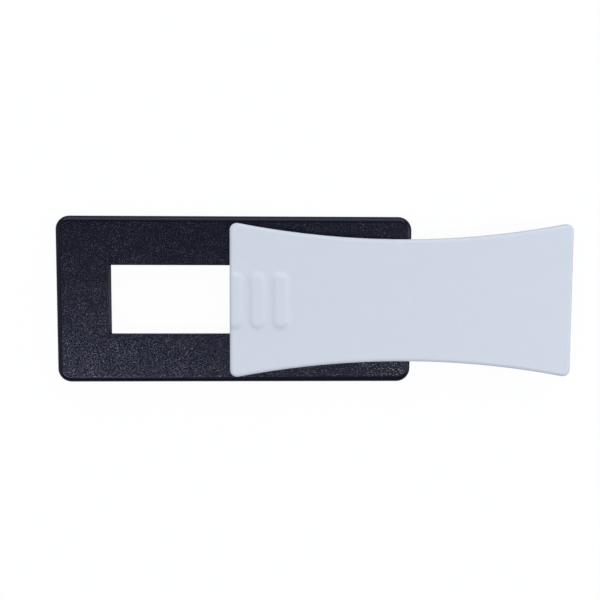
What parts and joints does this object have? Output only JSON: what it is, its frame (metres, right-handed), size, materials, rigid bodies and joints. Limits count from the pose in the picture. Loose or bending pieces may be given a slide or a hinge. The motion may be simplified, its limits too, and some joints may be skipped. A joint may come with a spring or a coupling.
{
  "type": "webcam cover slider",
  "caption": "Stick-on camera cover: a black rounded frame with a window, and a white hourglass slide with finger ribs that is pushed across the window to hide the lens.",
  "frame": {"origin": "middle of the frame, on the back face of its adhesive, which is the face that is stuck to the screen", "axes": "+X along the slide's travel towards open, +Y across it, +Z out of the front face"},
  "size_m": [0.0552, 0.0178, 0.0032],
  "materials": {
    "adhesive_tape": "tacky foam tape",
    "black_plastic": "spark-eroded mould texture",
    "white_plastic": "fine satin"
  },
  "bodies": {
    "base": {"base_frame": "black_plastic", "adhesive_pad": "adhesive_tape"},
    "slide": {"slider": "white_plastic"}
  },
  "joints": [
    {"name": "cover_slide", "type": "slide", "parent": "base", "child": "slide", "axis": [1, 0, 0], "range_m": [-0.01785, 0]}
  ]
}
